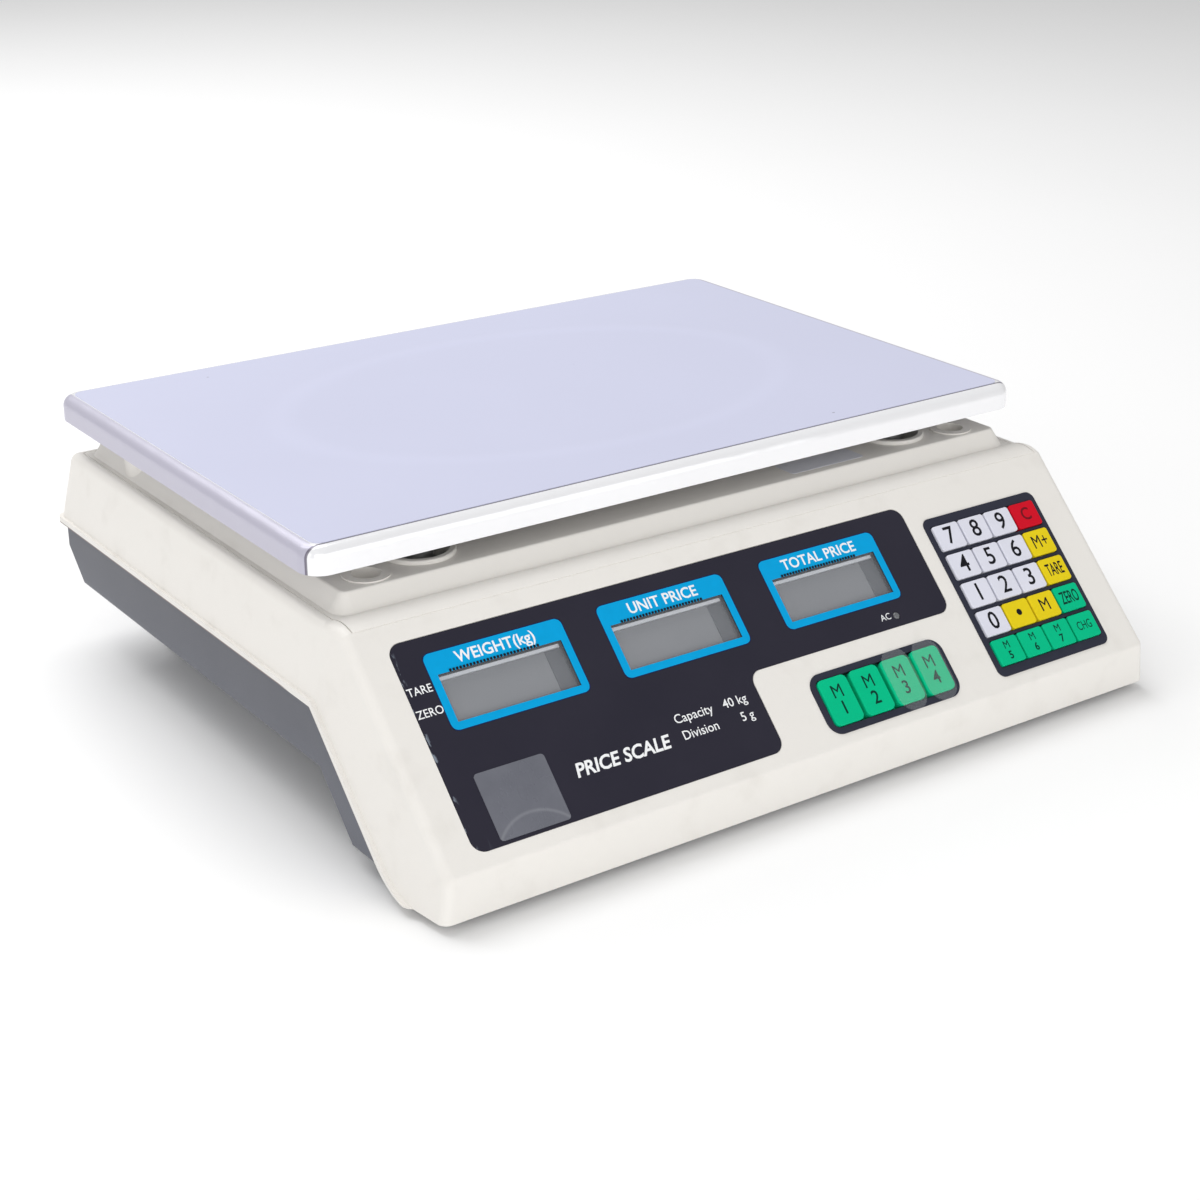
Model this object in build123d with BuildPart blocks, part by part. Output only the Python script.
from build123d import *
import os
from math import atan2, cos, degrees, hypot, radians, sin, tan

os.makedirs("parts", exist_ok=True)

# Counter price scale. Millimetres, +Z up, the operator's side faces -Y and the table is Z = 0.

# ---- Driving dimensions -------------------------------------------------------------------------
# Whole object
body_width = 349.0          # across the parting lip
body_depth = 307.0          # front face to the rear of the parting lip
deck_height = 111.0         # table to the top of the weighing deck

# Case outline, seen from the side
platter_gap = 18.0          # deck top down to the raised top of the case
plinth_rise = 7.0           # raised top above the shoulder round it
crease_drop = 0.2           # shoulder down to the panel's upper crease
shoulder_width = 13.8       # panel crease to the foot of the raised top
shoulder_crown = 1.3
panel_slope = 45.0          # key and display panel, from horizontal
panel_length = 92.2         # crease to crease, along the slope
nose_clearance = 3.5        # lower edge of the front face above the table
side_height = 31.0          # shoulder down to the parting line along the sides and rear
parting_bend = 30.0         # radius where the parting line turns down to the nose
band_width = 32.4           # upper housing's side band, square to the panel
rear_floor_height = 29.0    # underside over the feet
front_floor_height = 7.0    # underside behind the nose
floor_step_y = -71.5        # where the underside starts down to the nose
nose_floor_turn = -121.0    # where the nose's floor is as wide as the lower housing
nose_floor_inset = 1.0

# Walls, drafts and clearances
wall = 3.0
lip_height = 2.5
lip_proud = 1.5
side_draft = 4.5            # flare of each side wall from its upper edge to the lip
rear_draft = 5.5
panel_inset = 0.5           # panel's side edges stand in from the shoulder's
lower_inset = 3.0           # lower housing behind the lip
edge_radius = 4.0
lower_edge_radius = 3.0
rear_chamfer = 14.0         # lower housing's rear underside corner
rear_round = 14.0           # radius at both ends of that chamfer
tongue_height = 6.0         # lower housing's inner tongue, below the parting line
tongue_sheet = 2.0
tongue_front = -58.0
fit_gap = 0.2
thread_gap = 0.03           # radial clearance of plain shanks that stand for threads

# Fine groove round the shoulder
groove_margin = 4.2         # side and rear walls' upper edges to the groove
groove_width = 0.5
groove_depth = 0.35

# Raised top of the case
plinth_side_margin = 12.5   # lip to the foot of the raised top, each side and at the rear
plinth_draft = 4.5
plinth_corner = 7.0

# Platter
deck_width = 330.0          # flat deck, bend to bend
deck_depth = 213.3
platter_bend = 4.5
platter_drop = 10.3
platter_sheet = 1.0
platter_corner = 9.0
platter_y = 41.5            # middle of the platter
film_thickness = 0.2

# Weighing works
post_spacing_x = 231.0
post_spacing_y = 167.0
post_middle_y = 33.0
post_radius = 6.0
cap_radius = 10.0
cap_height = 12.0
cap_crown = 3.0             # rubber above the post's end
ring_outer = 14.5
ring_inner = 12.2
ring_rise = 1.6
cell_length = 130.0
cell_width = 30.0
cell_height = 22.0
cell_screw_radius = 3.0
cell_screw_pitch = 15.0
cell_screw_edge = 8.0       # end of the load cell to its outer screw
spacer_height = 4.0
spider_sheet = 3.0
spider_arm = 24.0
frame_sheet = 2.5
stop_gap = 0.6              # overload stop below the spider, unloaded
stop_radius = 3.0

# Levelling feet
foot_spacing_x = 260.0
foot_spacing_y = 160.0
foot_middle_y = 36.0
foot_radius = 14.0
foot_sole_height = 8.0
foot_disc_radius = 12.0
foot_disc_height = 9.0
foot_stud_radius = 4.0
foot_stud_top = 52.0
foot_boss_height = 11.0

# Panel stack: depths are measured square to the panel, inwards from its face
overlay_thickness = 0.4
overlay_recess = 0.5
lens_thickness = 1.4
lens_land = 2.0             # housing ledge that each window lens rests on, all round
display_gap = 0.3           # housing's inner face to the display's glass
board_depth = 11.0
board_thickness = 1.6
board_width = 300.0
board_top = 10.0            # upper edge of the board below the panel crease
board_bottom = 88.0

# Display overlay, in panel coordinates: across from the middle, down from the upper crease
overlay_left = -154.4
overlay_right = 82.0
overlay_tall_right = -20.2
overlay_top = 7.7
overlay_notch = 54.6
overlay_bottom = 86.6
overlay_corner = 5.0
window_centres = (-114.4, -41.2, 34.4)
window_width = 51.4
window_height = 18.2
window_middle = 31.6
display_width = 60.0
display_height = 29.0

# Keypads
main_left = 89.3
main_right = 150.9
main_top = 15.9
main_bottom = 87.1
main_bezel_corner = 3.5
key_columns = 4
key_rows = 5
key_width = 13.45
key_height = 11.1
key_column_gap = 0.8
key_row_gap = 1.9
memory_left = 2.2
memory_right = 68.9
memory_top = 63.1
memory_bottom = 87.9
memory_bezel_corner = 6.0
memory_keys = 4
memory_key_width = 14.0
memory_key_height = 19.0
memory_key_pitch = 15.6
bezel_proud = 0.4
bezel_flange = 1.7          # bezel's flange under the housing, each side
bezel_flange_height = 1.2
key_proud = 1.0             # above the bezel
key_slot_gap = 0.3
key_retainer = 0.45
key_travel = 0.5
key_corner = 1.2
key_edge = 0.5              # rounding of the pressed face
key_flange = 1.0            # thickness of the retaining flange
stem_radius = 2.0
plunger_radius = 1.7
slot_pocket_margin = 1.0    # pocket in the bezel's back, beyond the slots
slot_pocket_depth = 5.0
bezel_flange_corner = 7.0
switch_gap = 0.6            # key stem to switch button, at rest
switch_body = 6.0
switch_body_height = 4.1
lamp_across = 56.1
lamp_down = 50.2
lamp_radius = 1.5
label_across = -129.1
label_down = 72.7
label_width = 28.8
label_height = 25.2
label_thickness = 0.25
label_corner = 1.5

# Fasteners
case_screw_radius = 2.0
case_screw_head = 3.8
case_screw_head_height = 2.2
case_screw_grip = 9.0       # length in the upper housing's bosses
boss_radius = 4.5
board_screw_radius = 1.25
board_screw_head = 2.8
board_screw_head_height = 1.8
board_post_radius = 3.0
rear_boss_x = 152.0
rear_boss_rows = (128.0, -61.0)
front_boss_x = 158.0
front_boss_y = -134.0
stop_x = 103.5              # frame's side rails, with the overload stops and its own screws
frame_screw_rows = (0.0, 80.0)
cover_screw_margin = 7.0    # battery's end to the cover's screw
board_screw_places = ((-147.0, 12.0), (-147.0, 84.0), (-10.0, 84.0), (78.0, 56.0), (145.0, 10.0))

# Power and battery
battery_width = 47.0
battery_length = 101.0
battery_height = 47.0
battery_x = -138.5
battery_y = 40.5
battery_gap = 1.0
battery_corner = 1.5
terminal_gauge = 0.8        # tab thickness, battery and switch
battery_tab_spacing = 26.0
battery_tab_width = 5.0
battery_tab_length = 6.0
battery_tab_drop = 10.0     # battery's top down to its tabs
cover_thickness = 2.6
transformer_width = 40.0
transformer_length = 44.0
transformer_height = 36.0
transformer_core_width = 24.0
transformer_coil_length = 24.2
transformer_coil_inset = 4.0    # core above and below the coil
transformer_coil_corner = 3.0
transformer_strap_width = 16.0
transformer_strap_height = 1.5
transformer_ear = 9.0       # strap beyond the core, each end
transformer_hole_reach = 5.0    # core's end out to the strap's hole
transformer_hole_radius = 1.7
transformer_x = 139.0
transformer_y = 27.0
inlet_y = 100.0
inlet_width = 24.0
inlet_height = 16.0
inlet_body_depth = 20.0
inlet_flange = 2.0
inlet_flange_margin = 2.5   # flange beyond the body, all round
inlet_corner = 2.0
inlet_flange_corner = 3.0
socket_span = 8.0           # between the middles of its round ends
socket_height = 9.0
socket_depth = 13.0
socket_pin_spacing = 8.6
socket_pin_radius = 1.2
socket_pin_length = 6.5
socket_pin_root = 0.5       # pin below the socket's floor
switch_y = 66.0
rocker_width = 12.0
rocker_length = 19.0
switch_frame = 1.5
switch_depth = 13.0
switch_lip = 1.5            # lip beyond the body, all round
switch_lip_height = 1.2
switch_lip_corner = 1.0
switch_floor = 2.0
switch_tab_spacing = 12.0
switch_tab_width = 4.8
switch_tab_length = 7.0
rocker_tilt = 10.0
rocker_end_gap = 0.6        # rocker's ends short of the frame
rocker_pivot_depth = 2.0    # pivot inside the side of the case
rocker_dip = 2.2            # middle of its face out from the pivot
rocker_rise = 3.0           # ends of its face out from the pivot
rocker_keel = 5.0           # its lowest point in from the pivot
rocker_edge = 0.4
power_z = 42.5              # height of the inlet and the switch

# Level vial, corner recesses and rear display
vial_x = -147.0
vial_y = 102.0
vial_radius = 12.5
vial_height = 9.0
vial_ring = 2.0
vial_sink = 0.2             # vial's face below its rim
vial_rise = 0.4             # vial's rim above the raised top
front_recess_x = 142.0
front_recess_y = -59.5
rear_recess_x = 140.0
rear_recess_y = 125.0
recess_radius = 5.5
recess_depth = 5.0
recess_land = 9.0
recess_land_rise = 0.5
rear_window_width = 200.0
rear_window_height = 20.0
rear_window_thickness = 1.5
rear_module_width = 190.0
rear_module_height = 16.0
rear_module_depth = 9.0
rear_board_thickness = 1.6
rear_glass_width = 56.0
rear_glass_pitch = 62.0
rear_glass_margin = 0.5
rear_window_drop = 14.5     # shoulder down to the middle of the rear window

# ---- Sizes worked out from those ----------------------------------------------------------------
half_width = body_width / 2
front_y = -body_depth / 2
rear_y = body_depth / 2
slope = radians(panel_slope)
plinth_top = deck_height - platter_gap
shoulder_z = plinth_top - plinth_rise
crease_z = shoulder_z - crease_drop
parting_height = shoulder_z - side_height
crease_y = front_y + panel_length * cos(slope)
panel_foot_z = crease_z - panel_length * sin(slope)
shoulder_y = crease_y + shoulder_width
wall_foot = half_width - lip_proud          # side wall where it meets the lip
wall_head = wall_foot - side_draft          # side wall at its upper edge
rear_foot = rear_y - lip_proud
rear_head = rear_foot - rear_draft
lip_top = parting_height + lip_height
rear_window_z = shoulder_z - rear_window_drop
plinth_half = half_width - plinth_side_margin
plinth_rear = rear_y - plinth_side_margin
floor_top = rear_floor_height + wall
front_floor_top = front_floor_height + wall
lower_half = half_width - lower_inset
sheet_top = deck_height - film_thickness
cap_top = sheet_top - platter_sheet
frame_top = floor_top + frame_sheet
cell_bottom = frame_top + spacer_height
cell_top = cell_bottom + cell_height
spider_bottom = cell_top + spacer_height
spider_top = spider_bottom + spider_sheet
main_middle = (main_left + main_right) / 2
main_centre_down = (main_top + main_bottom) / 2
main_width = main_right - main_left
main_height = main_bottom - main_top
memory_middle = (memory_left + memory_right) / 2
memory_centre_down = (memory_top + memory_bottom) / 2
memory_width = memory_right - memory_left
memory_height = memory_bottom - memory_top
key_pitch_x = key_width + key_column_gap
key_pitch_y = key_height + key_row_gap
slot_width = key_columns * key_pitch_x - key_column_gap + 2 * key_slot_gap
slot_height = key_height + 2 * key_slot_gap
memory_slot_width = (memory_keys - 1) * memory_key_pitch + memory_key_width + 2 * key_slot_gap
memory_slot_height = memory_key_height + 2 * key_slot_gap
display_face_depth = wall + display_gap
stem_depth = board_depth - switch_body_height - 1.2 - switch_gap
overlay_face = overlay_recess - overlay_thickness
post_places = [
    (sx * post_spacing_x / 2, post_middle_y + sy * post_spacing_y / 2) for sx in (-1, 1) for sy in (-1, 1)
]
foot_places = {
    "front_left": (-foot_spacing_x / 2, foot_middle_y - foot_spacing_y / 2),
    "front_right": (foot_spacing_x / 2, foot_middle_y - foot_spacing_y / 2),
    "rear_left": (-foot_spacing_x / 2, foot_middle_y + foot_spacing_y / 2),
    "rear_right": (foot_spacing_x / 2, foot_middle_y + foot_spacing_y / 2),
}

# The panel's own plane: x across, y up the slope, z out of the face.
panel = Plane(origin=(0, crease_y, crease_z), x_dir=(1, 0, 0), z_dir=(0, -sin(slope), cos(slope)))


panel_out = Axis(panel.origin, panel.z_dir)

# The right side of the lower housing, at the height of the inlet and the switch.
side_face = Plane(origin=(lower_half, 0, power_z), x_dir=(0, 1, 0), z_dir=(1, 0, 0))

# The rear wall's own plane, round which the customer's display is placed.
rear_lean = atan2(rear_draft, shoulder_z - lip_top)
rear_window_y = rear_head + rear_draft * (shoulder_z - rear_window_z) / (shoulder_z - lip_top)
rear_face = Plane(
    origin=(0, rear_window_y, rear_window_z), x_dir=(-1, 0, 0), z_dir=(0, cos(rear_lean), sin(rear_lean))
)


def inwards(depth):
    """The panel's plane moved into the case."""
    return panel.offset(-depth)


def at_plane(across, down):
    """A place on the panel, from across and down-the-slope sizes."""
    return (across, -down)


# ---- Case outline -------------------------------------------------------------------------------
def case_form(inset, radius):
    """The upper housing's outer form, or its inside when inset by the wall."""
    rear_slope = rear_draft / (shoulder_z - lip_top)
    below = -5.0
    with BuildPart() as form:
        with BuildSketch(Plane.YZ.offset(-half_width)):
            with BuildLine():
                Polyline(
                    (shoulder_y, shoulder_z),
                    (rear_head, shoulder_z),
                    (rear_head + rear_slope * (shoulder_z - below), below),
                    (front_y, below),
                    (front_y, panel_foot_z),
                    (crease_y, crease_z),
                )
                ThreePointArc(
                    (crease_y, crease_z),
                    (crease_y + shoulder_width / 2, shoulder_z + shoulder_crown),
                    (shoulder_y, shoulder_z),
                )
            make_face()
            if inset > 0:
                offset(amount=-inset, kind=Kind.INTERSECTION)
        extrude(amount=body_width)
        for side in (1, -1):
            rear_normal = Vector(side * (shoulder_z - lip_top), 0, side_draft).normalized()
            band = band_width - lip_height
            flare = side_draft + panel_inset
            nose_normal = Vector(side * band, -flare * sin(slope), flare * cos(slope)).normalized()
            rear_origin = Vector(side * wall_head, 0, shoulder_z) - rear_normal * inset
            nose_head = wall_head - panel_inset
            nose_origin = Vector(side * nose_head, crease_y, crease_z) - nose_normal * inset
            split(bisect_by=Plane(origin=rear_origin, z_dir=rear_normal), keep=Keep.BOTTOM)
            split(bisect_by=Plane(origin=nose_origin, z_dir=nose_normal), keep=Keep.BOTTOM)
        if radius > 0:
            upright = form.edges().filter_by(lambda e: e.bounding_box().max.Z > 0)
            sides = upright.filter_by(lambda e: e.bounding_box().size.X < half_width)
            spanning = upright.filter_by(lambda e: e.bounding_box().size.X > half_width)
            fillet(sides + spanning.sort_by(Axis.Y)[-1:], radius)
            spanning = form.edges().filter_by(lambda e: e.bounding_box().size.X > half_width)
            panel_foot = spanning.filter_by(lambda e: e.center().Z > 0).sort_by(Axis.Y)[0]
            fillet(panel_foot, radius / 2)
    return form.part


def shoulder_groove():
    """Room for the fine groove that runs along the panel's crease, the sides and the rear."""
    half = wall_head - groove_margin
    back = rear_head - groove_margin
    front = crease_y - groove_width / 2
    with BuildPart() as groove:
        with BuildSketch(Plane.XY.offset(shoulder_z - groove_depth)):
            with Locations((0, (back + front) / 2)):
                Rectangle(2 * half, back - front)
                Rectangle(2 * (half - groove_width), back - front - 2 * groove_width, mode=Mode.SUBTRACT)
        extrude(amount=plinth_rise)
    return groove.part


def plinth_form(inset):
    """The raised top of the case, with drafted sides."""
    front_foot = shoulder_y
    depth = plinth_rear - front_foot
    start = shoulder_z - wall
    lean = degrees(atan2(plinth_draft, plinth_rise))
    grow = wall * tan(radians(lean))
    with BuildPart() as form:
        with BuildSketch(Plane.XY.offset(start - inset)):
            with Locations((0, (plinth_rear + front_foot) / 2)):
                RectangleRounded(
                    2 * (plinth_half + grow - inset),
                    depth + 2 * (grow - inset),
                    plinth_corner + grow,
                )
        extrude(amount=plinth_rise + wall, taper=lean)
        if inset == 0:
            fillet(form.faces().sort_by(Axis.Z)[-1].edges(), 1.2)
    return form.part


def above_parting(rise):
    """Everything above the parting line, or above a line higher by rise."""
    far = 400.0
    line_y = crease_y + (band_width - rise) * sin(slope)
    line_z = crease_z - (band_width - rise) * cos(slope)
    level = parting_height + rise
    bend_y = line_y + (level - line_z) / tan(slope)
    toe_y = line_y + (nose_clearance - line_z) / tan(slope)
    with BuildPart() as region:
        with BuildSketch(Plane.YZ) as side_view:
            with BuildLine():
                Polyline(
                    (far, level),
                    (bend_y, level),
                    (toe_y, nose_clearance),
                    (-far, nose_clearance),
                    (-far, far),
                    (far, far),
                    close=True,
                )
            make_face()
            bend = side_view.vertices().sort_by_distance((0, bend_y, level))[0]
            fillet(bend, parting_bend - rise)
        extrude(amount=far, both=True)
    return region.part


def lip_band():
    """The thin proud lip along the parting line."""
    with BuildPart() as band:
        with BuildSketch(Plane.XY):
            with Locations((0, 8)):
                RectangleRounded(body_width, body_depth - 16, edge_radius + 1)
        extrude(amount=deck_height)
        add(above_parting(0), mode=Mode.INTERSECT)
        add(above_parting(lip_height), mode=Mode.SUBTRACT)
    return band.part


def lower_form(inset, radius):
    """The lower housing's outer form, or its inside when inset by the wall."""
    back = rear_y - lower_inset + lip_proud - 0.5
    top = parting_height + 30
    step = rear_floor_height - front_floor_height
    nose = front_y + wall + fit_gap + 0.1
    with BuildPart() as form:
        with BuildSketch(Plane.YZ.offset(-lower_half + inset)) as profile:
            with BuildLine():
                Polyline(
                    (back, top),
                    (back, rear_floor_height + rear_chamfer),
                    (back - rear_chamfer, rear_floor_height),
                    (floor_step_y, rear_floor_height),
                    (floor_step_y - step / tan(slope), front_floor_height),
                    (nose, front_floor_height),
                    (nose, top),
                    close=True,
                )
            make_face()
            corners = profile.vertices().filter_by(lambda v: v.Y > back - rear_chamfer - 0.1)
            fillet(corners.filter_by(lambda v: v.Z < top - 1), rear_round)
            if inset > 0:
                offset(amount=-inset, kind=Kind.INTERSECTION)
        extrude(amount=2 * (lower_half - inset))
        if radius > 0:
            sides = form.edges().filter_by(lambda e: e.bounding_box().size.X < 0.1)
            sides = sides.filter_by(lambda e: e.center().Z < top - 1 and e.center().Y > front_y + 20)
            fillet(sides, radius)
    return form.part


# ---- Places of the fasteners --------------------------------------------------------------------
rear_boss_places = [(sx * rear_boss_x, y) for sx in (-1, 1) for y in rear_boss_rows]
front_boss_places = [(sx * front_boss_x, front_boss_y) for sx in (-1, 1)]
frame_screw_places = [(sx * stop_x, y) for sx in (-1, 1) for y in frame_screw_rows]
cover_screw_reach = battery_length / 2 + cover_screw_margin
cover_screw_places = [(battery_x, battery_y + sy * cover_screw_reach) for sy in (-1, 1)]
front_recess_places = [(sx * front_recess_x, front_recess_y) for sx in (-1, 1)]
rear_recess_places = [(sx * rear_recess_x, rear_recess_y) for sx in (-1, 1)]
recess_places = front_recess_places + rear_recess_places
cell_inner = cell_length / 2 - cell_screw_edge - cell_screw_pitch
cell_outer = cell_length / 2 - cell_screw_edge
fixed_screw_places = [(-cell_outer, post_middle_y), (-cell_inner, post_middle_y)]
free_screw_places = [(cell_outer, post_middle_y), (cell_inner, post_middle_y)]
arm_angle = degrees(atan2(post_spacing_y, post_spacing_x))
stop_rise = stop_x * tan(radians(arm_angle))
stop_places = [(sx * stop_x, post_middle_y + sy * stop_rise) for sx in (-1, 1) for sy in (-1, 1)]


# ---- Upper housing ------------------------------------------------------------------------------
with BuildSketch() as overlay_outline:
    with BuildLine():
        Polyline(
            at_plane(overlay_left, overlay_top),
            at_plane(overlay_right, overlay_top),
            at_plane(overlay_right, overlay_notch),
            at_plane(overlay_tall_right, overlay_notch),
            at_plane(overlay_tall_right, overlay_bottom),
            at_plane(overlay_left, overlay_bottom),
            close=True,
        )
    make_face()
    fillet(overlay_outline.vertices(), overlay_corner)


def boss_columns():
    """Screw bosses that hang inside the upper housing."""
    with BuildPart() as bosses:
        with BuildSketch(Plane.XY.offset(floor_top + fit_gap)):
            with Locations(*rear_boss_places):
                Circle(boss_radius)
        extrude(amount=deck_height)
        with BuildSketch(Plane.XY.offset(front_floor_top + fit_gap)):
            with Locations(*front_boss_places):
                Circle(boss_radius - 0.5)
        extrude(amount=deck_height)
        with BuildSketch(inwards(board_depth)):
            with Locations(*[at_plane(*place) for place in board_screw_places]):
                Circle(board_post_radius)
        extrude(amount=board_depth - 1)
    return bosses.part


solid_case = case_form(0, edge_radius) + plinth_form(0)
solid_inside = case_form(wall, 0) + plinth_form(wall)
columns = boss_columns() & solid_case

with BuildPart() as upper_housing:
    add(solid_case)
    add(shoulder_groove(), mode=Mode.SUBTRACT)
    add(lip_band())
    add(solid_inside, mode=Mode.SUBTRACT)
    add(columns)
    # Collars of the post holes
    with BuildSketch(Plane.XY.offset(plinth_top - 6)):
        with Locations(*post_places):
            Circle(ring_outer)
    extrude(amount=6 + ring_rise)
    # Cups under the corner recesses and the level vial
    with BuildSketch(Plane.XY.offset(plinth_top - recess_depth - 2)):
        with Locations(*recess_places):
            Circle(recess_land)
    extrude(amount=recess_depth + 2 + recess_land_rise)
    with BuildSketch(Plane.XY.offset(plinth_top - vial_height - 2)):
        with Locations((vial_x, vial_y)):
            Circle(vial_radius + vial_ring)
    extrude(amount=vial_height + 2 + vial_rise)
    rims = upper_housing.edges().filter_by(GeomType.CIRCLE).filter_by(
        lambda e: e.center().Z > plinth_top + 1
    )
    fillet(rims, 0.7)
    with BuildSketch(Plane.XY.offset(plinth_top - 10)):
        with Locations(*post_places):
            Circle(ring_inner)
    extrude(amount=20, mode=Mode.SUBTRACT)
    with BuildSketch(Plane.XY.offset(plinth_top - recess_depth + recess_land_rise)):
        with Locations(*recess_places):
            Circle(recess_radius)
    extrude(amount=20, mode=Mode.SUBTRACT)
    with BuildSketch(Plane.XY.offset(plinth_top - vial_height + vial_rise)):
        with Locations((vial_x, vial_y)):
            Circle(vial_radius + fit_gap / 2)
    extrude(amount=20, mode=Mode.SUBTRACT)
    # Recess for the display overlay, with its three stepped windows and the lamp hole
    with BuildSketch(inwards(overlay_recess)):
        add(overlay_outline.sketch_local)
        offset(amount=fit_gap)
    extrude(amount=5, mode=Mode.SUBTRACT)
    with BuildSketch(inwards(overlay_recess + lens_thickness)):
        with Locations(*[at_plane(u, window_middle) for u in window_centres]):
            Rectangle(window_width + 2 * lens_land + fit_gap, window_height + 2 * lens_land + fit_gap)
    extrude(amount=5, mode=Mode.SUBTRACT)
    with BuildSketch(inwards(wall + 1)):
        with Locations(*[at_plane(u, window_middle) for u in window_centres]):
            Rectangle(window_width, window_height)
        with Locations(at_plane(lamp_across, lamp_down)):
            Circle(lamp_radius + 0.1)
    extrude(amount=8, mode=Mode.SUBTRACT)
    # Recess and opening of the rear display
    with BuildSketch(rear_face.offset(-rear_window_thickness - 0.1)):
        RectangleRounded(rear_window_width + fit_gap, rear_window_height + fit_gap, 3 + fit_gap / 2)
    extrude(amount=8, mode=Mode.SUBTRACT)
    with BuildSketch(rear_face.offset(-wall - 1)):
        Rectangle(rear_module_width - 4, rear_module_height - 2)
    extrude(amount=8, mode=Mode.SUBTRACT)
    # Openings for the two keypads
    with BuildSketch(inwards(wall + 1)):
        with Locations(at_plane(main_middle, main_centre_down)):
            RectangleRounded(main_width + fit_gap, main_height + fit_gap, main_bezel_corner + fit_gap / 2)
        with Locations(at_plane(memory_middle, memory_centre_down)):
            RectangleRounded(
                memory_width + fit_gap, memory_height + fit_gap, memory_bezel_corner + fit_gap / 2
            )
    extrude(amount=8, mode=Mode.SUBTRACT)
    # Pilot holes of the board posts and of the case bosses
    with BuildSketch(inwards(board_depth + 1)):
        with Locations(*[at_plane(*place) for place in board_screw_places]):
            Circle(board_screw_radius + thread_gap)
    extrude(amount=7.2, mode=Mode.SUBTRACT)
    with BuildSketch(Plane.XY.offset(floor_top)):
        with Locations(*rear_boss_places):
            Circle(case_screw_radius + thread_gap)
    extrude(amount=case_screw_grip + 1, mode=Mode.SUBTRACT)
    with BuildSketch(Plane.XY.offset(front_floor_top)):
        with Locations(*front_boss_places):
            Circle(case_screw_radius + thread_gap)
    extrude(amount=case_screw_grip + 1, mode=Mode.SUBTRACT)
    add(above_parting(0), mode=Mode.INTERSECT)
upper_housing.part.label = "upper_housing"
export_step(upper_housing.part, "parts/upper_housing.step")


# ---- Lower housing ------------------------------------------------------------------------------
with BuildPart() as lower_housing:
    add(lower_form(0, lower_edge_radius))
    add(lower_form(wall, 0), mode=Mode.SUBTRACT)
    add(above_parting(0), mode=Mode.SUBTRACT)
    # Floor of the nose, inside the upper housing's front
    nose_floor_back = nose_floor_turn + 10
    nose_floor_front = front_y + wall + fit_gap
    front_half = wall_head - wall - fit_gap
    back_half = lower_half - 2 * nose_floor_inset
    with BuildSketch(Plane.XY.offset(front_floor_height)):
        with BuildLine():
            Polyline(
                (-front_half, nose_floor_front),
                (front_half, nose_floor_front),
                (back_half, nose_floor_turn),
                (back_half, nose_floor_back),
                (-back_half, nose_floor_back),
                (-back_half, nose_floor_turn),
                close=True,
            )
        make_face()
    extrude(amount=wall)
    with BuildSketch(Plane.XY.offset(front_floor_height)):
        with Locations((0, nose_floor_front + 1)):
            Rectangle(2 * (wall_head - wall - 1), 2)
    extrude(amount=9)
    # Tongue that stands up inside the upper housing along the sides and the rear
    tongue_rear = rear_head - wall - fit_gap
    tongue_depth = tongue_rear - tongue_front
    with BuildSketch(Plane.XY.offset(parting_height - tongue_height)):
        with Locations((0, tongue_rear - tongue_depth / 2)):
            Rectangle(2 * (lower_half - wall), tongue_depth)
        with Locations((0, tongue_rear - tongue_depth / 2 - tongue_sheet)):
            Rectangle(2 * (lower_half - wall - tongue_sheet), tongue_depth, mode=Mode.SUBTRACT)
    extrude(amount=1.5 * tongue_height)
    # Clearance for the feet, the screws and the load cell's bolts
    with BuildSketch(Plane.XY.offset(rear_floor_height)):
        with Locations(*foot_places.values()):
            Circle(foot_stud_radius + 4)
    extrude(amount=wall)
    with BuildSketch(Plane.XY):
        with Locations(*foot_places.values()):
            Circle(foot_stud_radius + 1)
        with Locations(*rear_boss_places, *front_boss_places, *frame_screw_places, *cover_screw_places):
            Circle(case_screw_radius + 0.3)
        with Locations(*fixed_screw_places):
            Circle(cell_screw_radius + 3)
    extrude(amount=floor_top + 1, mode=Mode.SUBTRACT)
    # Battery hatch in the floor
    with BuildSketch(Plane.XY):
        with Locations((battery_x, battery_y)):
            RectangleRounded(battery_width + 2, battery_length + 2, 2)
    extrude(amount=floor_top + 1, mode=Mode.SUBTRACT)
    # Shallow step that the battery cover lies in
    with BuildSketch(Plane.XY.offset(rear_floor_height)):
        with Locations((battery_x, battery_y)):
            RectangleRounded(battery_width + 8, battery_length + 24, 3)
    extrude(amount=cover_thickness - 1, mode=Mode.SUBTRACT)
    # Openings for the mains inlet and the power switch in the right side
    with BuildSketch(side_face.offset(-2 * wall)):
        with Locations((inlet_y, 0)):
            Rectangle(inlet_width + fit_gap, inlet_height + fit_gap)
        with Locations((switch_y, 0)):
            Rectangle(rocker_length + 2 * switch_frame + fit_gap, rocker_width + 2 * switch_frame + fit_gap)
    extrude(amount=3 * wall, mode=Mode.SUBTRACT)
lower_housing.part.label = "lower_housing"
export_step(lower_housing.part, "parts/lower_housing.step")

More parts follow.
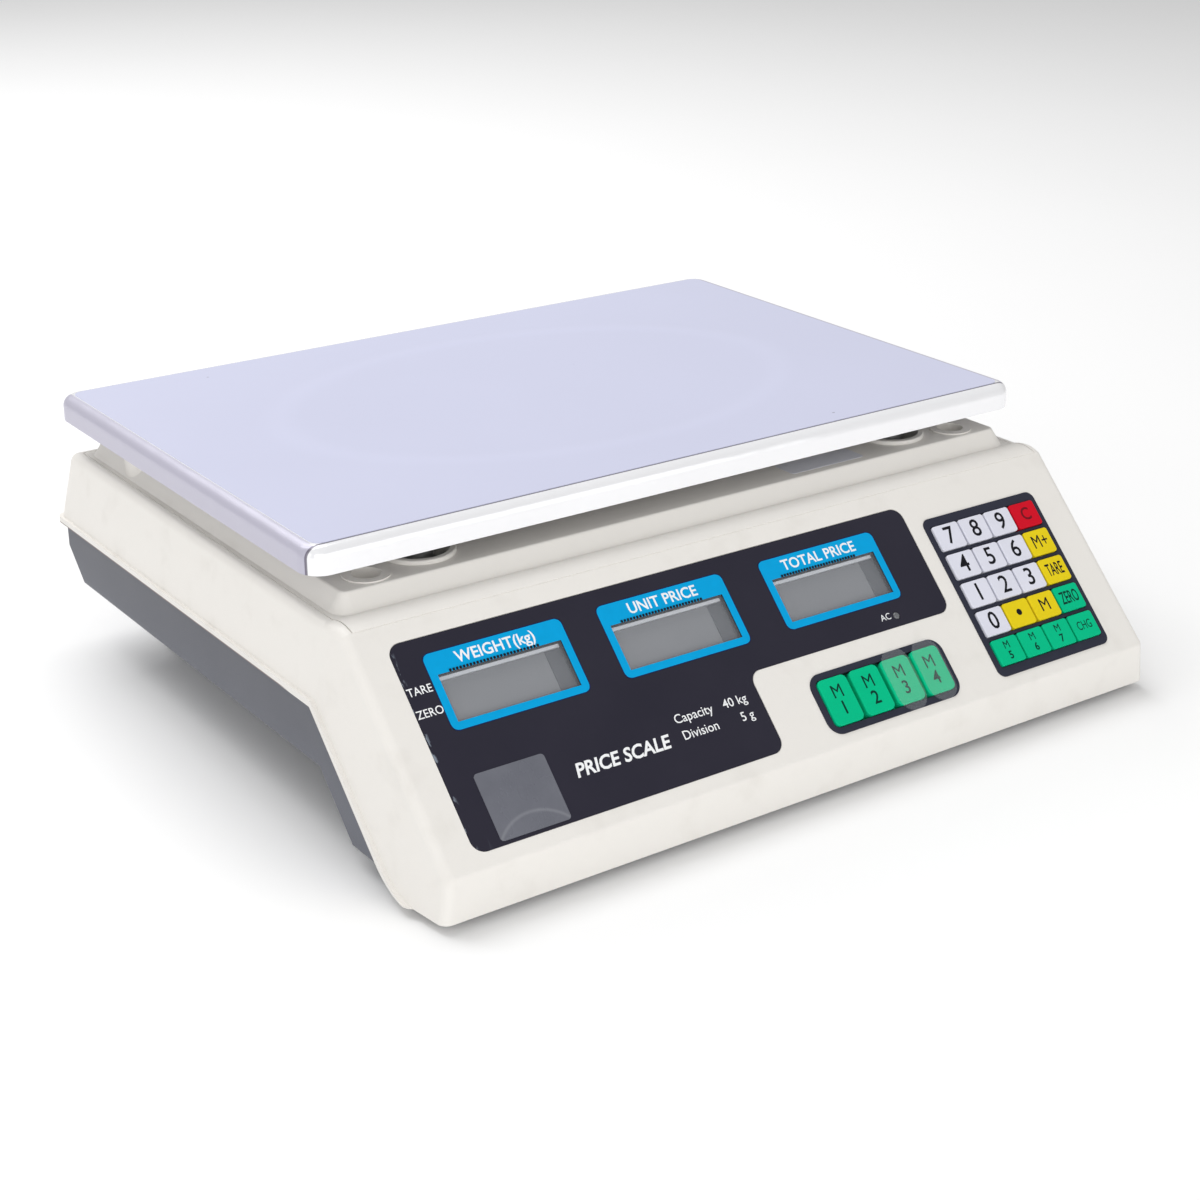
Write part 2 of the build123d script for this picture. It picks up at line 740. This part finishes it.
with BuildPart() as battery_cover:
    with BuildSketch(Plane.XY.offset(rear_floor_height)):
        with Locations((battery_x, battery_y)):
            RectangleRounded(battery_width + 8 - fit_gap, battery_length + 24 - fit_gap, 3)
    extrude(amount=cover_thickness - 1)
    with BuildSketch(Plane.XY.offset(rear_floor_height + cover_thickness - 1)):
        with Locations((battery_x, battery_y)):
            RectangleRounded(battery_width + 2 - fit_gap, battery_length + 2 - fit_gap, 2)
    extrude(amount=floor_top - rear_floor_height - cover_thickness + 1)
    # Finger ribs across the cover
    with BuildSketch(Plane.XY.offset(rear_floor_height)):
        with Locations((battery_x, battery_y)):
            with GridLocations(0, 6, 1, 7):
                Rectangle(battery_width - 14, 2)
    extrude(amount=0.6, mode=Mode.SUBTRACT)
    with BuildSketch(Plane.XY):
        with Locations(*cover_screw_places):
            Circle(case_screw_radius + 0.3)
    extrude(amount=floor_top, mode=Mode.SUBTRACT)
battery_cover.part.label = "battery_cover"
export_step(battery_cover.part, "parts/battery_cover.step")

with BuildPart() as case_screws:
    # Long screws up into the rear bosses, with the frame's own screws and the cover's
    screw_sets = [
        (rear_boss_places, rear_floor_height, wall + case_screw_grip),
        (front_boss_places, front_floor_height, wall + case_screw_grip),
        (frame_screw_places, rear_floor_height, 6.5),
        (cover_screw_places, rear_floor_height, 3.0),
    ]
    for places, seat, length in screw_sets:
        with BuildSketch(Plane.XY.offset(seat - case_screw_head_height)):
            with Locations(*places):
                Circle(case_screw_head)
        extrude(amount=case_screw_head_height)
        with BuildSketch(Plane.XY.offset(seat)):
            with Locations(*places):
                Circle(case_screw_radius)
        extrude(amount=length)
    for places, seat, length in screw_sets:
        with BuildSketch(Plane.XY.offset(seat - case_screw_head_height)):
            with Locations(*places):
                Rectangle(4.2, 0.9)
                Rectangle(0.9, 4.2)
        extrude(amount=1.2, mode=Mode.SUBTRACT)
case_screws.part.label = "case_screws"
export_step(case_screws.part, "parts/case_screws.step")


# ---- Base frame, load cell and spider -----------------------------------------------------------
with BuildPart() as base_frame:
    with BuildSketch(Plane.XY.offset(floor_top)):
        for y in (foot_middle_y - foot_spacing_y / 2, foot_middle_y + foot_spacing_y / 2):
            with Locations((0, y)):
                RectangleRounded(foot_spacing_x + 24, 22, 6)
        with Locations((0, foot_middle_y)):
            with GridLocations(2 * stop_x, 0, 2, 1):
                Rectangle(18, foot_spacing_y)
        with Locations((0, post_middle_y)):
            Rectangle(2 * stop_x, cell_width + 12)
    extrude(amount=frame_sheet)
    with BuildSketch(Plane.XY.offset(frame_top)):
        with Locations(((fixed_screw_places[0][0] + fixed_screw_places[1][0]) / 2, post_middle_y)):
            Rectangle(cell_screw_pitch + 2 * cell_screw_edge, cell_width)
    extrude(amount=spacer_height)
    with BuildSketch(Plane.XY.offset(frame_top)):
        with Locations(*foot_places.values()):
            Circle(foot_stud_radius + 4.5)
    extrude(amount=foot_boss_height)
    with BuildSketch(Plane.XY.offset(floor_top)):
        with Locations(*foot_places.values()):
            Circle(foot_stud_radius + thread_gap)
        with Locations(*frame_screw_places):
            Circle(case_screw_radius + thread_gap)
        with Locations(*fixed_screw_places):
            Circle(cell_screw_radius + 0.15)
        with Locations(*stop_places):
            Circle(stop_radius - 0.5)
    extrude(amount=30, mode=Mode.SUBTRACT)
base_frame.part.label = "base_frame"
export_step(base_frame.part, "parts/base_frame.step")

with BuildPart() as overload_stops:
    with BuildSketch(Plane.XY.offset(frame_top)):
        with Locations(*stop_places):
            RegularPolygon(5.5, 6)
    extrude(amount=5)
    with BuildSketch(Plane.XY.offset(frame_top + 5)):
        with Locations(*stop_places):
            Circle(stop_radius)
    extrude(amount=spider_bottom - stop_gap - frame_top - 5)
    with BuildSketch(Plane.XY.offset(floor_top + 0.2)):
        with Locations(*stop_places):
            Circle(stop_radius - 0.5 - thread_gap)
    extrude(amount=frame_sheet)
overload_stops.part.label = "overload_stops"
export_step(overload_stops.part, "parts/overload_stops.step")

with BuildPart() as load_cell:
    with BuildSketch(Plane.XY.offset(cell_bottom)):
        with Locations((0, post_middle_y)):
            Rectangle(cell_length, cell_width)
    extrude(amount=cell_height)
    # The thinned middle, two bores joined by a slot
    with BuildSketch(Plane.XZ.offset(-post_middle_y - cell_width)):
        with Locations((0, cell_bottom + cell_height / 2)):
            with GridLocations(24, 0, 2, 1):
                Circle(8)
            Rectangle(24, 8)
    extrude(amount=2 * cell_width, mode=Mode.SUBTRACT)
    with BuildSketch(Plane.XY.offset(cell_bottom)):
        with Locations(*fixed_screw_places, *free_screw_places):
            Circle(cell_screw_radius + thread_gap)
    extrude(amount=cell_height, mode=Mode.SUBTRACT)
load_cell.part.label = "load_cell"
export_step(load_cell.part, "parts/load_cell.step")

with BuildPart() as load_cell_screws:
    with BuildSketch(Plane.XY.offset(floor_top - 3.4)):
        with Locations(*fixed_screw_places):
            Circle(cell_screw_radius + 2)
            RegularPolygon(cell_screw_radius - 0.4, 6, mode=Mode.SUBTRACT)
    extrude(amount=3.4)
    with BuildSketch(Plane.XY.offset(floor_top - 0.8)):
        with Locations(*fixed_screw_places):
            Circle(cell_screw_radius)
    extrude(amount=cell_bottom + 12 - floor_top + 0.8)
load_cell_screws.part.label = "load_cell_screws"
export_step(load_cell_screws.part, "parts/load_cell_screws.step")

with BuildPart() as cell_spacer:
    with BuildSketch(Plane.XY.offset(cell_top)):
        with Locations(((free_screw_places[0][0] + free_screw_places[1][0]) / 2, post_middle_y)):
            Rectangle(cell_screw_pitch + 2 * cell_screw_edge, cell_width)
        with Locations(*free_screw_places):
            Circle(cell_screw_radius + 0.15, mode=Mode.SUBTRACT)
    extrude(amount=spacer_height)
cell_spacer.part.label = "cell_spacer"
export_step(cell_spacer.part, "parts/cell_spacer.step")

with BuildPart() as spider:
    with BuildSketch(Plane.XY.offset(spider_bottom)):
        with Locations((0, post_middle_y)):
            for angle in (arm_angle, -arm_angle):
                SlotCenterToCenter(hypot(post_spacing_x, post_spacing_y), spider_arm, rotation=angle)
            Rectangle(cell_length + 10, 2 * cell_width)
        with Locations(*free_screw_places):
            Circle(cell_screw_radius + 0.15, mode=Mode.SUBTRACT)
    extrude(amount=spider_sheet)
    # Stiffening ribs along the arms
    with BuildSketch(Plane.XY.offset(spider_top)):
        with Locations((0, post_middle_y)):
            for angle in (arm_angle, -arm_angle):
                SlotCenterToCenter(hypot(post_spacing_x, post_spacing_y), 5, rotation=angle)
            Rectangle(cell_length + 10, 2 * cell_width, mode=Mode.SUBTRACT)
    extrude(amount=5)
    with BuildSketch(Plane.XY.offset(spider_top)):
        with Locations(*post_places):
            Circle(post_radius + 3)
    extrude(amount=5)
    with BuildSketch(Plane.XY.offset(spider_top)):
        with Locations(*post_places):
            Circle(post_radius)
    extrude(amount=cap_top - cap_crown - spider_top)
spider.part.label = "spider"
export_step(spider.part, "parts/spider.step")

with BuildPart() as spider_screws:
    with BuildSketch(Plane.XY.offset(spider_top)):
        with Locations(*free_screw_places):
            Circle(cell_screw_radius + 2)
            RegularPolygon(cell_screw_radius - 0.4, 6, mode=Mode.SUBTRACT)
    extrude(amount=4)
    with BuildSketch(Plane.XY.offset(cell_top - 10)):
        with Locations(*free_screw_places):
            Circle(cell_screw_radius)
    extrude(amount=spider_top - cell_top + 11)
spider_screws.part.label = "spider_screws"
export_step(spider_screws.part, "parts/spider_screws.step")

with BuildPart() as post_caps:
    with BuildSketch(Plane.XY.offset(cap_top - cap_height)):
        with Locations(*post_places):
            Circle(cap_radius)
    extrude(amount=cap_height)
    fillet(post_caps.edges().filter_by(lambda e: e.center().Z > cap_top - 0.1), 1.5)
    with BuildSketch(Plane.XY.offset(cap_top - cap_height)):
        with Locations(*post_places):
            Circle(post_radius)
    extrude(amount=cap_height - cap_crown, mode=Mode.SUBTRACT)
post_caps.part.label = "post_caps"
export_step(post_caps.part, "parts/post_caps.step")


# ---- Platter and its film -----------------------------------------------------------------------
def platter_block(inset, bottom):
    """The platter's outer form, or its inside when inset by the sheet."""
    with BuildPart() as block:
        with BuildSketch(Plane.XY.offset(bottom)):
            with Locations((0, platter_y)):
                RectangleRounded(
                    deck_width + 2 * platter_bend - 2 * inset,
                    deck_depth + 2 * platter_bend - 2 * inset,
                    platter_corner - inset,
                )
        extrude(amount=sheet_top - inset - bottom)
        fillet(block.faces().sort_by(Axis.Z)[-1].edges(), platter_bend - inset)
    return block.part


skirt_bottom = sheet_top - platter_drop
with BuildPart() as platter:
    add(platter_block(0, skirt_bottom))
    add(platter_block(platter_sheet, skirt_bottom - 5), mode=Mode.SUBTRACT)
platter.part.label = "platter"
export_step(platter.part, "parts/platter.step")

with BuildPart() as platter_film:
    with BuildSketch(Plane.XY.offset(sheet_top)):
        with Locations((0, platter_y)):
            RectangleRounded(deck_width - 1, deck_depth - 1, platter_corner - platter_bend)
    extrude(amount=film_thickness)
platter_film.part.label = "platter_film"
export_step(platter_film.part, "parts/platter_film.step")


# ---- Levelling feet -----------------------------------------------------------------------------
for corner, place in foot_places.items():
    with BuildPart() as foot:
        with BuildSketch(Plane.XY):
            with Locations(place):
                Circle(foot_radius)
        extrude(amount=foot_sole_height)
        chamfer(foot.edges().filter_by(lambda e: e.center().Z < 0.1), 1.0)
        with BuildSketch(Plane.XY.offset(foot_sole_height)):
            with Locations(place):
                Circle(foot_disc_radius)
                with PolarLocations(foot_disc_radius, 24):
                    Circle(0.8, mode=Mode.SUBTRACT)
        extrude(amount=foot_disc_height)
        with BuildSketch(Plane.XY.offset(foot_sole_height + foot_disc_height)):
            with Locations(place):
                Circle(foot_stud_radius)
        extrude(amount=foot_stud_top - foot_sole_height - foot_disc_height)
    foot.part.label = "foot_" + corner
    export_step(foot.part, "parts/foot_" + corner + ".step")


# ---- Display overlay, windows, displays and board -----------------------------------------------
with BuildPart() as front_overlay:
    with BuildSketch(inwards(overlay_recess)):
        add(overlay_outline.sketch_local)
        with Locations(*[at_plane(u, window_middle) for u in window_centres]):
            Rectangle(window_width, window_height, mode=Mode.SUBTRACT)
        with Locations(at_plane(lamp_across, lamp_down)):
            Circle(lamp_radius + 0.1, mode=Mode.SUBTRACT)
    extrude(amount=overlay_thickness)
front_overlay.part.label = "front_overlay"
export_step(front_overlay.part, "parts/front_overlay.step")

with BuildPart() as window_lenses:
    with BuildSketch(inwards(overlay_recess + lens_thickness)):
        with Locations(*[at_plane(u, window_middle) for u in window_centres]):
            Rectangle(window_width + 2 * lens_land, window_height + 2 * lens_land)
    extrude(amount=lens_thickness)
window_lenses.part.label = "window_lenses"
export_step(window_lenses.part, "parts/window_lenses.step")

with BuildPart() as front_displays:
    with BuildSketch(inwards(board_depth)):
        with Locations(*[at_plane(u, window_middle) for u in window_centres]):
            Rectangle(display_width, display_height)
    extrude(amount=board_depth - display_face_depth - 2)
    with BuildSketch(inwards(display_face_depth + 2)):
        with Locations(*[at_plane(u, window_middle) for u in window_centres]):
            Rectangle(display_width - 3, display_height - 3)
    extrude(amount=2)
front_displays.part.label = "front_displays"
export_step(front_displays.part, "parts/front_displays.step")

with BuildPart() as main_board:
    with BuildSketch(inwards(board_depth + board_thickness)):
        with Locations(at_plane(0, (board_top + board_bottom) / 2)):
            Rectangle(board_width, board_bottom - board_top)
        with Locations(*[at_plane(*place) for place in board_screw_places]):
            Circle(board_screw_radius + 0.2, mode=Mode.SUBTRACT)
    extrude(amount=board_thickness)
    # Converter and controller packages on the back
    with BuildSketch(inwards(board_depth + board_thickness + 2.5)):
        with Locations(at_plane(-70, 60)):
            Rectangle(14, 14)
        with Locations(at_plane(-20, 64)):
            Rectangle(10, 6)
        with Locations(at_plane(20, 30)):
            Rectangle(18, 12)
    extrude(amount=2.5)
main_board.part.label = "main_board"
export_step(main_board.part, "parts/main_board.step")

with BuildPart() as board_screws:
    with BuildSketch(inwards(board_depth + board_thickness + board_screw_head_height)):
        with Locations(*[at_plane(*place) for place in board_screw_places]):
            Circle(board_screw_head)
    extrude(amount=board_screw_head_height)
    with BuildSketch(inwards(board_depth + board_thickness)):
        with Locations(*[at_plane(*place) for place in board_screw_places]):
            Circle(board_screw_radius)
    extrude(amount=board_thickness + 5)
board_screws.part.label = "board_screws"
export_step(board_screws.part, "parts/board_screws.step")

with BuildPart() as power_lamp:
    with BuildSketch(inwards(board_depth)):
        with Locations(at_plane(lamp_across, lamp_down)):
            Circle(lamp_radius)
    extrude(amount=board_depth + 0.3)
    fillet(power_lamp.faces().sort_by(panel_out)[-1].edges(), 0.9)
power_lamp.part.label = "power_lamp"
export_step(power_lamp.part, "parts/power_lamp.step")

with BuildPart() as film_label:
    with BuildSketch(inwards(overlay_face)):
        with Locations(at_plane(label_across, label_down)):
            RectangleRounded(label_width, label_height, label_corner)
    extrude(amount=label_thickness)
film_label.part.label = "film_label"
export_step(film_label.part, "parts/film_label.step")


# ---- Keypads ------------------------------------------------------------------------------------
def key_places():
    """Name, place across and down, width and height of each key."""
    names = [
        ["7", "8", "9", "clear"],
        ["4", "5", "6", "add"],
        ["1", "2", "3", "tare"],
        ["0", "point", "memory", "zero"],
        ["m5", "m6", "m7", "change"],
    ]
    places = {}
    for row in range(key_rows):
        for column in range(key_columns):
            across = main_middle + (column - (key_columns - 1) / 2) * key_pitch_x
            down = main_centre_down + (row - (key_rows - 1) / 2) * key_pitch_y
            places["key_" + names[row][column]] = (across, down, key_width, key_height, key_corner)
    for column in range(memory_keys):
        across = memory_middle + (column - (memory_keys - 1) / 2) * memory_key_pitch
        places["key_m" + str(column + 1)] = (
            across,
            memory_centre_down,
            memory_key_width,
            memory_key_height,
            2 * key_corner,
        )
    return places


with BuildPart() as main_bezel:
    with BuildSketch(inwards(wall)):
        with Locations(at_plane(main_middle, main_centre_down)):
            RectangleRounded(main_width, main_height, main_bezel_corner)
    extrude(amount=wall + bezel_proud)
    with BuildSketch(inwards(wall + fit_gap / 2 + bezel_flange_height)):
        with Locations(at_plane(main_middle, main_centre_down)):
            RectangleRounded(main_width + 2 * bezel_flange, main_height + 2 * bezel_flange, main_bezel_corner)
    extrude(amount=bezel_flange_height)
    with BuildSketch(inwards(wall)):
        with Locations(at_plane(main_middle, main_centre_down)):
            RectangleRounded(main_width, main_height, main_bezel_corner)
    extrude(amount=-fit_gap / 2)
    with BuildSketch(inwards(wall)):
        with Locations(at_plane(main_middle, main_centre_down)):
            Rectangle(slot_width + slot_pocket_margin, key_rows * key_pitch_y + slot_pocket_margin)
    extrude(amount=-slot_pocket_depth, mode=Mode.SUBTRACT)
    with BuildSketch(inwards(wall + 1)):
        with Locations(at_plane(main_middle, main_centre_down)):
            with GridLocations(0, key_pitch_y, 1, key_rows):
                RectangleRounded(slot_width, slot_height, key_corner)
    extrude(amount=8, mode=Mode.SUBTRACT)
main_bezel.part.label = "main_bezel"
export_step(main_bezel.part, "parts/main_bezel.step")

with BuildPart() as memory_bezel:
    with BuildSketch(inwards(wall + fit_gap / 2)):
        with Locations(at_plane(memory_middle, memory_centre_down)):
            RectangleRounded(memory_width, memory_height, memory_bezel_corner)
    extrude(amount=wall + bezel_proud + fit_gap / 2)
    with BuildSketch(inwards(wall + fit_gap / 2 + bezel_flange_height)):
        with Locations(at_plane(memory_middle, memory_centre_down)):
            RectangleRounded(
                memory_width + 2 * bezel_flange, memory_height + 2 * bezel_flange, bezel_flange_corner
            )
    extrude(amount=bezel_flange_height)
    with BuildSketch(inwards(wall)):
        with Locations(at_plane(memory_middle, memory_centre_down)):
            Rectangle(memory_slot_width + slot_pocket_margin, memory_slot_height + 3 * slot_pocket_margin)
    extrude(amount=-slot_pocket_depth, mode=Mode.SUBTRACT)
    with BuildSketch(inwards(wall + 1)):
        with Locations(at_plane(memory_middle, memory_centre_down)):
            RectangleRounded(memory_slot_width, memory_slot_height, 2 * key_corner)
    extrude(amount=8, mode=Mode.SUBTRACT)
memory_bezel.part.label = "memory_bezel"
export_step(memory_bezel.part, "parts/memory_bezel.step")

for name, (across, down, width, height, corner) in key_places().items():
    with BuildPart() as key:
        with BuildSketch(inwards(wall)):
            with Locations(at_plane(across, down)):
                RectangleRounded(width, height, corner)
        extrude(amount=wall + bezel_proud + key_proud)
        fillet(key.faces().sort_by(panel_out)[-1].edges(), key_edge)
        # Retaining flange under the bezel, and the stem above the switch
        with BuildSketch(inwards(wall)):
            with Locations(at_plane(across, down)):
                Rectangle(width, height + 2 * (key_slot_gap + key_retainer))
        extrude(amount=-key_flange)
        with BuildSketch(inwards(wall + key_flange)):
            with Locations(at_plane(across, down)):
                Circle(stem_radius)
        extrude(amount=-(stem_depth - wall - key_flange))
    key.part.label = name
    export_step(key.part, "parts/" + name + ".step")

with BuildPart() as key_switches:
    for across, down, width, height, corner in key_places().values():
        with BuildSketch(inwards(board_depth)):
            with Locations(at_plane(across, down)):
                Rectangle(switch_body, switch_body)
        extrude(amount=switch_body_height)
        with BuildSketch(inwards(board_depth - switch_body_height)):
            with Locations(at_plane(across, down)):
                Circle(plunger_radius)
        extrude(amount=board_depth - switch_body_height - stem_depth - switch_gap)
key_switches.part.label = "key_switches"
export_step(key_switches.part, "parts/key_switches.step")


# ---- Battery, transformer, inlet and switch -----------------------------------------------------
with BuildPart() as battery:
    with BuildSketch(Plane.XY.offset(floor_top + battery_gap / 2)):
        with Locations((battery_x, battery_y)):
            Rectangle(battery_width, battery_length)
    extrude(amount=battery_height)
    fillet(battery.edges().filter_by(Axis.Y), battery_corner)
    with BuildSketch(Plane.XZ.offset(-(battery_y + battery_length / 2))):
        with Locations((battery_x, floor_top + battery_height - battery_tab_drop)):
            with GridLocations(battery_tab_spacing, 0, 2, 1):
                Rectangle(battery_tab_width, terminal_gauge)
    extrude(amount=-battery_tab_length)
battery.part.label = "battery"
export_step(battery.part, "parts/battery.step")

with BuildPart() as transformer:
    core_bottom = floor_top + transformer_strap_height
    with BuildSketch(Plane.XY.offset(core_bottom)):
        with Locations((transformer_x, transformer_y)):
            Rectangle(transformer_core_width, transformer_length)
    extrude(amount=transformer_height)
    with BuildSketch(Plane.XY.offset(core_bottom + transformer_coil_inset)):
        with Locations((transformer_x, transformer_y)):
            RectangleRounded(transformer_width, transformer_coil_length, transformer_coil_corner)
    extrude(amount=transformer_height - 2 * transformer_coil_inset)
    with BuildSketch(Plane.XY.offset(floor_top)):
        with Locations((transformer_x, transformer_y)):
            Rectangle(transformer_strap_width, transformer_length + 2 * transformer_ear)
            with GridLocations(0, transformer_length + 2 * transformer_hole_reach, 1, 2):
                Circle(transformer_hole_radius, mode=Mode.SUBTRACT)
    extrude(amount=transformer_strap_height)
transformer.part.label = "transformer"
export_step(transformer.part, "parts/transformer.step")

with BuildPart() as power_inlet:
    with BuildSketch(side_face):
        with Locations((inlet_y, 0)):
            RectangleRounded(
                inlet_width + 2 * inlet_flange_margin,
                inlet_height + 2 * inlet_flange_margin,
                inlet_flange_corner,
            )
    extrude(amount=inlet_flange)
    with BuildSketch(side_face):
        with Locations((inlet_y, 0)):
            RectangleRounded(inlet_width, inlet_height, inlet_corner)
    extrude(amount=-inlet_body_depth)
    # Two-pole socket, with its two pins
    with BuildSketch(side_face.offset(inlet_flange)):
        with Locations((inlet_y, 0)):
            SlotCenterToCenter(socket_span, socket_height)
    extrude(amount=-socket_depth, mode=Mode.SUBTRACT)
    with BuildSketch(side_face.offset(inlet_flange - socket_depth - socket_pin_root)):
        with Locations((inlet_y, 0)):
            with GridLocations(socket_pin_spacing, 0, 2, 1):
                Circle(socket_pin_radius)
    extrude(amount=socket_pin_length + socket_pin_root)
power_inlet.part.label = "power_inlet"
export_step(power_inlet.part, "parts/power_inlet.step")

frame_length = rocker_length + 2 * switch_frame
frame_width = rocker_width + 2 * switch_frame
with BuildPart() as switch_housing:
    with BuildSketch(side_face):
        with Locations((switch_y, 0)):
            RectangleRounded(frame_length + 2 * switch_lip, frame_width + 2 * switch_lip, switch_lip_corner)
    extrude(amount=switch_lip_height)
    with BuildSketch(side_face):
        with Locations((switch_y, 0)):
            Rectangle(frame_length, frame_width)
    extrude(amount=-switch_depth)
    with BuildSketch(side_face.offset(switch_lip_height)):
        with Locations((switch_y, 0)):
            Rectangle(rocker_length + 2 * fit_gap, rocker_width + 2 * fit_gap)
    extrude(amount=-(switch_lip_height + switch_depth - switch_floor), mode=Mode.SUBTRACT)
    with BuildSketch(side_face.offset(-switch_depth)):
        with Locations((switch_y, 0)):
            with GridLocations(switch_tab_spacing, 0, 2, 1):
                Rectangle(terminal_gauge, switch_tab_width)
    extrude(amount=-switch_tab_length)
switch_housing.part.label = "switch_housing"
export_step(switch_housing.part, "parts/switch_housing.step")

rocker_pivot = (lower_half - rocker_pivot_depth, switch_y, power_z)
with BuildPart() as power_rocker:
    # A shallow V across the pivot, tipped to its off position
    half = rocker_length / 2 - rocker_end_gap
    with BuildSketch(Plane.XY.offset(power_z - rocker_width / 2)):
        with BuildLine():
            Polyline(
                (rocker_pivot[0] + rocker_dip, switch_y),
                (rocker_pivot[0] + rocker_rise, switch_y + half),
                (rocker_pivot[0] - rocker_rise, switch_y + half),
                (rocker_pivot[0] - rocker_keel, switch_y),
                (rocker_pivot[0] - rocker_rise, switch_y - half),
                (rocker_pivot[0] + rocker_rise, switch_y - half),
                close=True,
            )
        make_face()
    extrude(amount=rocker_width)
    chamfer(power_rocker.edges().filter_by(Axis.Z).sort_by(Axis.X)[-2:], rocker_edge)
tipped_rocker = power_rocker.part.rotate(Axis(rocker_pivot, (0, 0, 1)), -rocker_tilt)
tipped_rocker.label = "power_rocker"
export_step(tipped_rocker, "parts/power_rocker.step")


# ---- Level vial and rear display ----------------------------------------------------------------
with BuildPart() as level_vial:
    with BuildSketch(Plane.XY.offset(plinth_top + vial_rise - vial_height)):
        with Locations((vial_x, vial_y)):
            Circle(vial_radius)
    extrude(amount=vial_height - vial_sink)
    fillet(level_vial.faces().sort_by(Axis.Z)[-1].edges(), 1.0)
level_vial.part.label = "level_vial"
export_step(level_vial.part, "parts/level_vial.step")

with BuildPart() as rear_window:
    with BuildSketch(rear_face.offset(-rear_window_thickness - 0.1)):
        RectangleRounded(rear_window_width, rear_window_height, 3)
    extrude(amount=rear_window_thickness)
rear_window.part.label = "rear_window"
export_step(rear_window.part, "parts/rear_window.step")

with BuildPart() as rear_display:
    with BuildSketch(rear_face.offset(-wall - fit_gap - rear_module_depth)):
        Rectangle(rear_module_width, rear_module_height)
    extrude(amount=rear_board_thickness)
    with BuildSketch(rear_face.offset(-wall - fit_gap - rear_module_depth + rear_board_thickness)):
        with GridLocations(rear_glass_pitch, 0, 3, 1):
            Rectangle(rear_glass_width, rear_module_height - 2 * rear_glass_margin)
    extrude(amount=rear_module_depth - rear_board_thickness)
rear_display.part.label = "rear_display"
export_step(rear_display.part, "parts/rear_display.step")
